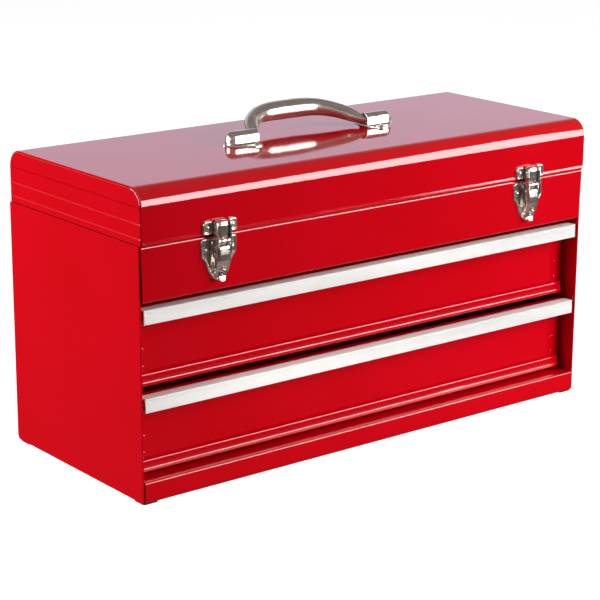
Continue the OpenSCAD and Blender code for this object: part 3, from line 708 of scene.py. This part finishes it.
LEVER_AT, HOOK_AT = (6.2, 217.0), (5.4, 206.5)
for cx, side in zip(LATCH_X, ("left", "right")):
    at = lat(cx)
    # base plate: shield with two wings, a bead round its rim
    half_out = [(10.6, 190.8), (13.4, 199.6), (18.0, 204.6), (18.0, 219.4)]
    low = [(8.5 * cos(radians(a)), 190.4 + 8.1 * sin(radians(a))) for a in range(-160, -19, 10)]
    outl = rounded_loop(low + half_out + [(-a, b) for a, b in reversed(half_out)], [0] * len(low) + [2.5, 5, 3.2, 2.6, 2.6, 3.2, 5, 2.5], 6)
    sh = plate(outl, [(0, 0.0), (0, 0.5), (0.12, 0.95), (0.4, 1.25), (0.8, 1.32), (1.2, 1.2), (1.6, 0.85), (2.1, 0.66), (2.6, 0.64)])
    # lug between the lever's knuckles, and the padlock eye
    lug = [(LEVER_AT[0] + 2.9 * cos(radians(a)), LEVER_AT[1] + 2.9 * sin(radians(a))) for a in range(-90, 91, 15)] + [(0.7, 219.9), (0.7, 214.1)]
    sh.add(prism(lug, -2.9, 2.9, 0.3))
    eye = [(0.6, 194.4), (4.6, 194.4)] + [(6.3 + 2.2 * cos(radians(a)), 192 + 2.4 * sin(radians(a))) for a in range(75, -76, -15)] + [(4.6, 189.6), (0.6, 189.6)]
    sh.add(tube([(0, d, l) for d, l in eye], [0.98] * len(eye), 14))
    piece(side + "_latch_plate", sh.moved(at), "case", NICKEL, [side + "_latch_base"], sharp=40)

    # strike: two pillow-shaped ears on a bar, and a lip
    sh = Shape()
    for sx in (-1, 1):
        ear = rounded_loop([(8.2, 223.1), (17.4, 223.1), (17.4, 234.6), (8.2, 234.6)], [2.2, 3.0, 3.0, 2.2], 8)
        ear = [(sx * a, b) for a, b in ear]
        if sx < 0:
            ear.reverse()
        sh.add(plate(ear, [(0, SD), (0, SD + 0.85), (0.12, SD + 1.4), (0.45, SD + 1.85), (0.9, SD + 2.0), (1.3, SD + 1.85), (1.65, SD + 1.35), (2.0, SD + 1.0), (2.5, SD + 0.95)]))
    sh.add(plate(rounded_loop([(-9.5, 223.3), (9.5, 223.3), (9.5, 231.8), (-9.5, 231.8)], 1.0, 4), [(0, SD), (0, SD + 0.7), (0.2, SD + 0.95), (0.5, SD + 1.0)]))
    lip = [(SD + 0.5, 230.4), (SD + 2.0, 231.6), (SD + 2.5, 234.6), (SD + 1.6, 234.6), (SD + 1.3, 232.4), (SD + 0.5, 232.0)]
    sh.add(prism(lip, -5.4, 5.4, 0.25))
    piece(side + "_strike_plate", sh.moved(at), "lid", NICKEL, [side + "_latch_strike"], sharp=40)

    # lever: two knuckles on the pivot, cheeks, tongue sloping back to the plate, finger tab
    def halfw(a):
        l = a[1]
        if l > 202.5:
            return 6.1
        if l > 190.5:
            return 6.1 + 0.35 * min(1.0, (202.5 - l) / 1.5)
        if l > 186.4:
            return 4.1 + 2.35 * ((l - 186.4) / 4.1) ** 1.3
        k = (186.4 - l) / 3.5
        return 4.1 * sqrt(max(0.03, 1 - min(1.0, k) ** 2.0))

    path = [(6.7, 213.3), (8.6, 213.0), (9.45, 211.2), (9.85, 205.6), (9.6, 200.9), (5.75, 190.6), (5.55, 186.6), (7.0, 182.9)]
    sh = tongue(path, [0, 0.7, 1.3, 8, 2.6, 3.5, 2.5, 0], -0.95, halfw, (188.2, 196.6))
    for sx in (-1, 1):
        a, b = sorted((sx * 3.3, sx * 6.1))
        ring = [(LEVER_AT[0] + 3.0 * cos(radians(t)), LEVER_AT[1] + 3.0 * sin(radians(t))) for t in range(0, 360, 12)]
        sh.add(prism(ring, a, b, 0.35))
        strap = rounded_loop([(9.0, 217.4), (9.2, 211.8), (9.3, 205.6), (9.1, 201.2), (6.1, 192.6), (4.9, 192.6), (3.4, 199.4), (3.1, 206), (3.2, 217.4)],
                             [1.0, 1.0, 3, 1.5, 0.4, 0.4, 2, 2, 1], 5)
        a, b = sorted((sx * 5.2, sx * 6.1))
        sh.add(prism(strap, a, b, 0.2))
    piece(side + "_lever_shell", sh.moved(at), side + "_lever", NICKEL, [side + "_latch_lever"], sharp=40)

    # hook: two ribs, a plate between them and a rolled top
    sh = Shape()
    rib = rounded_loop([(2.9, 203.9), (4.4, 203.3), (7.4, 203.3), (9.1, 206.4), (9.6, 212), (9.5, 234.2), (3.9, 234.2), (3.2, 229), (3.2, 219)],
                       [1.0, 1.5, 2.0, 3, 3, 2.8, 1.6, 2, 2], 6)
    for sx in (-1, 1):
        a, b = sorted((sx * 6.65, sx * 7.8))
        sh.add(prism(rib, a, b, 0.4, steps=4))
    front = [(6.5, 220.2), (7.9, 220.9), (8.1, 226), (8.7, 230.6), (7.6, 234.4), (5.0, 234.4), (4.7, 232.8)]
    sh.add(bent(front, [0, 0.6, 8, 2.2, 2.0, 1.2, 0], 0.9, -6.0, 6.0, n=10, edge=0.05, stations=[-5.8, -5.5, -5.1, -4.6, -4.0, -3.2, -1.8, 0, 1.8, 3.2, 4.0, 4.6, 5.1, 5.5, 5.8],
                mod=lambda x, y, z: (x, y - 2.0 * (abs(x) / 6.0) ** 5, z - 0.6 * (abs(x) / 6.0) ** 4 if z > 228 else z)))
    sh.add(prism([(4.0, 221.4), (5.2, 221.4), (5.2, 232.6), (4.0, 232.6)], -6.7, 6.7, 0.1))
    piece(side + "_hook_shell", sh.moved(at), side + "_hook", NICKEL, [side + "_latch_hook"], sharp=40)

    # pins with slightly domed ends
    for nm, body, (d, l), h in (("lever", "case", LEVER_AT, 6.3), ("hook", side + "_lever", HOOK_AT, 8.25)):
        prof = [(0, -h), (0.7, -h + 0.02), (1.0, -h + 0.25), (1.0, h - 0.25), (0.7, h - 0.02), (0, h)]
        sh = lathe(prof, 20).moved(lambda x, y, z, d=d, l=l: (z, d + x, l + y)).moved(at)
        piece(side + "_" + nm + "_pin_bar", sh, body, NICKEL, [side + "_" + nm + "_pin"])

for nm, body, dx, l, d0, r, h in (("base", "case", 13.8, 209.6, 0.64, 2.55, 1.6), ("strike", "lid", 12.8, 228.9, SD + 0.95, 2.5, 1.5)):
    sh = Shape()
    for cx in LATCH_X:
        for sx in (-1, 1):
            sh.add(dome(r, h, 0.1).moved(lambda x, y, z, sx=sx: (sx * dx + x, d0 + z, l + y)).moved(lat(cx)))
    piece("latch_" + nm + "_rivet_heads", sh, body, NICKEL, ["latch_" + nm + "_rivets"])

# ---------------------------------------------------------------- stage
def floor_material():
    m, nt, b = new_material("studio_floor")
    n = noise(nt, 3.0, 2.0, 0.5)
    nt.links.new(ramp(nt, n.outputs["Fac"], [(0.3, (0.49, 0.49, 0.49)), (0.7, (0.51, 0.51, 0.51))]), b.inputs["Base Color"])
    b.inputs["Roughness"].default_value = 0.9
    b.inputs["Emission Color"].default_value = (1, 1, 1, 1)
    b.inputs["Emission Strength"].default_value = 0.92
    return m


sh = Shape()
rings = []
R = 9000.0
for r in (0.0, 800.0, 2500.0, R):
    rings.append(sh.ring([(r * cos(2 * pi * i / 64), r * sin(2 * pi * i / 64), 0.0) for i in range(64)]))
sh.f += ladder(rings)
me = bpy.data.meshes.new("studio_floor")
me.from_pydata([(x * MM, y * MM, z * MM) for x, y, z in sh.v], [], sh.f)
bm = bmesh.new(); bm.from_mesh(me)
bmesh.ops.remove_doubles(bm, verts=bm.verts, dist=1e-6)
bmesh.ops.recalc_face_normals(bm, faces=bm.faces)
bm.to_mesh(me); bm.free()
floor = bpy.data.objects.new("studio_floor", me)
bpy.context.scene.collection.objects.link(floor)
me.materials.append(floor_material())
floor.visible_glossy = False
floor.visible_diffuse = False


def area_light(name, loc, target, w, h, power, colour=(1, 1, 1)):
    d = bpy.data.lights.new(name, "AREA")
    d.shape, d.size, d.size_y, d.energy, d.color = "RECTANGLE", w, h, power, colour
    o = bpy.data.objects.new(name, d)
    bpy.context.scene.collection.objects.link(o)
    z = (Vector(loc) - Vector(target)).normalized()
    x = Vector((0, 0, 1)).cross(z)
    x = x.normalized() if x.length > 1e-4 else Vector((1, 0, 0))
    y = z.cross(x)
    m = Matrix((x, y, z)).transposed().to_4x4()
    m.translation = Vector(loc)
    o.matrix_world = m
    o.visible_camera = False
    return o


# soft panel in front of the right end, others to the left, in front and above
area_light("key_panel", (0.75, -1.06, 0.52), (0.05, -0.346, 0.52), 0.84, 0.78, 21).visible_diffuse = False
area_light("key_fill", (0.80, -0.90, 0.60), (0.60, 0.0, 0.40), 0.80, 0.70, 16.5).visible_glossy = False
area_light("side_panel_light", (-1.25, 0.35, 0.45), (-0.25, 0.0, 0.15), 1.3, 0.7, 25)
for name, loc, target, w, h, power in (("front_fill", (1.30, -2.30, 0.5), (0.0, 0.0, 0.12), 0.5, 0.5, 30.5),
                                       ("floor_bounce", (0.0, -0.281, 0.002), (0.0, -0.281, 1.0), 0.56, 0.36, 0.46),
                                       ("top_fill", (0.1, 0.1, 1.9), (0.1, 0.1, 0.0), 1.2, 1.2, 8)):
    area_light(name, loc, target, w, h, power).visible_glossy = False

# surroundings seen in the gloss: pale round the horizon, dim overhead
world = bpy.data.worlds.new("studio")
bpy.context.scene.world = world
world.use_nodes = True
world.cycles_visibility.diffuse = False
nt = world.node_tree
bg = nt.nodes["Background"]
geo = nt.nodes.new("ShaderNodeTexCoord")
sep = nt.nodes.new("ShaderNodeSeparateXYZ")
nt.links.new(geo.outputs["Generated"], sep.inputs[0])


def sky_ramp(src, low, high, stops):
    up = nt.nodes.new("ShaderNodeMapRange")
    up.inputs["From Min"].default_value = low
    up.inputs["From Max"].default_value = high
    nt.links.new(src, up.inputs["Value"])
    rz = nt.nodes.new("ShaderNodeValToRGB")
    el = rz.color_ramp.elements
    while len(el) < len(stops):
        el.new(0.5)
    for e, (p, c) in zip(el, stops):
        e.position = (p - low) / (high - low)
        e.color = (*c, 1)
    nt.links.new(up.outputs["Result"], rz.inputs["Fac"])
    return rz.outputs["Color"]


away = nt.nodes.new("ShaderNodeVectorMath")
away.operation = "DOT_PRODUCT"
away.inputs[1].default_value = (0.63, 0.777, 0.0)
nt.links.new(geo.outputs["Generated"], away.inputs[0])
ground = sky_ramp(sep.outputs["Z"], -1.0, 1.0, [(-1.0, (0.80, 0.68, 0.66)), (-0.66, (0.80, 0.68, 0.66)), (-0.52, (0.16, 0.13, 0.11)),
                                                 (-0.015, (0.10, 0.08, 0.07)), (0.01, (1, 1, 1)), (0.37, (1, 1, 1)), (0.44, (0.55, 0.52, 0.50)), (0.75, (0.48, 0.44, 0.42)), (1.0, (0.62, 0.58, 0.56))])
sky = sky_ramp(away.outputs["Value"], -1.0, 1.0, [(-1.0, (0.42, 0.385, 0.36)), (0.72, (0.42, 0.385, 0.36)), (0.87, (0.85, 0.86, 1.04)), (1.0, (0.85, 0.86, 1.04))])
mul = nt.nodes.new("ShaderNodeVectorMath")
mul.operation = "MULTIPLY"
nt.links.new(ground, mul.inputs[0])
nt.links.new(sky, mul.inputs[1])
nt.links.new(mul.outputs["Vector"], bg.inputs["Color"])
bg.inputs["Strength"].default_value = 1.0

# ---------------------------------------------------------------- camera
cam = bpy.data.cameras.new("camera")
cam.sensor_width = 36.0
cam.sensor_height = 36.0
cam.sensor_fit = "HORIZONTAL"
cam.lens = 118.74
cam.clip_start, cam.clip_end = 0.05, 60
co = bpy.data.objects.new("camera", cam)
bpy.context.scene.collection.objects.link(co)
az, elv, roll = radians(-38.163), radians(15.826), radians(0.296)
back = Vector((sin(az) * cos(elv), -cos(az) * cos(elv), sin(elv)))
right = (-back).cross(Vector((0, 0, 1))).normalized()
upv = right.cross(-back).normalized()
xa = right * cos(roll) + upv * sin(roll)
ya = upv * cos(roll) - right * sin(roll)
m = Matrix((xa, ya, back)).transposed().to_4x4()
m.translation = Vector((-1.1060, -1.3938, 0.6178))
co.matrix_world = m
bpy.context.scene.camera = co
bpy.context.scene.view_settings.view_transform = "Standard"
bpy.context.scene.view_settings.look = "None"
